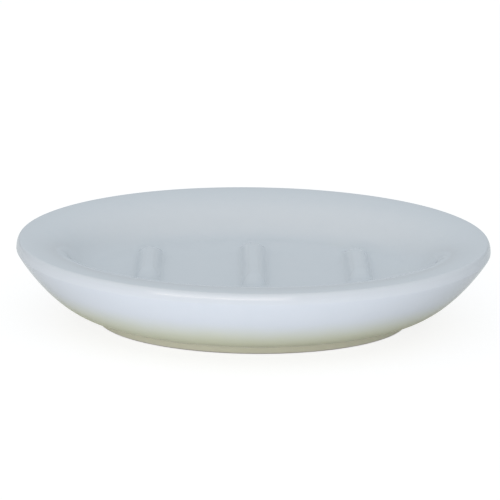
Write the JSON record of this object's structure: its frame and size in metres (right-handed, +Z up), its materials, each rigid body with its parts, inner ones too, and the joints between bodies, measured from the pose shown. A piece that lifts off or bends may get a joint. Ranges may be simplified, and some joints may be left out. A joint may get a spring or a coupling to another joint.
{
  "type": "soap dish",
  "caption": "Oval glazed ceramic soap dish: a shallow flared bowl with a rolled lip on a low foot ring, with raised ribs across the basin floor that keep the soap out of the water.",
  "frame": {"origin": "on the standing surface, under the middle of the dish", "axes": "+X along the length of the dish, +Y across it to the back, +Z up"},
  "size_m": [0.14, 0.1, 0.026],
  "materials": {
    "white_glaze": "gloss white glaze with a faint blue cast",
    "foot_glaze": "thin gloss glaze over cream clay, bare on the standing face"
  },
  "bodies": {
    "root": {"bowl": "white_glaze", "foot_ring": "foot_glaze", "soap_rib_left": "white_glaze", "soap_rib_centre": "white_glaze", "soap_rib_right": "white_glaze"}
  },
  "joints": []
}
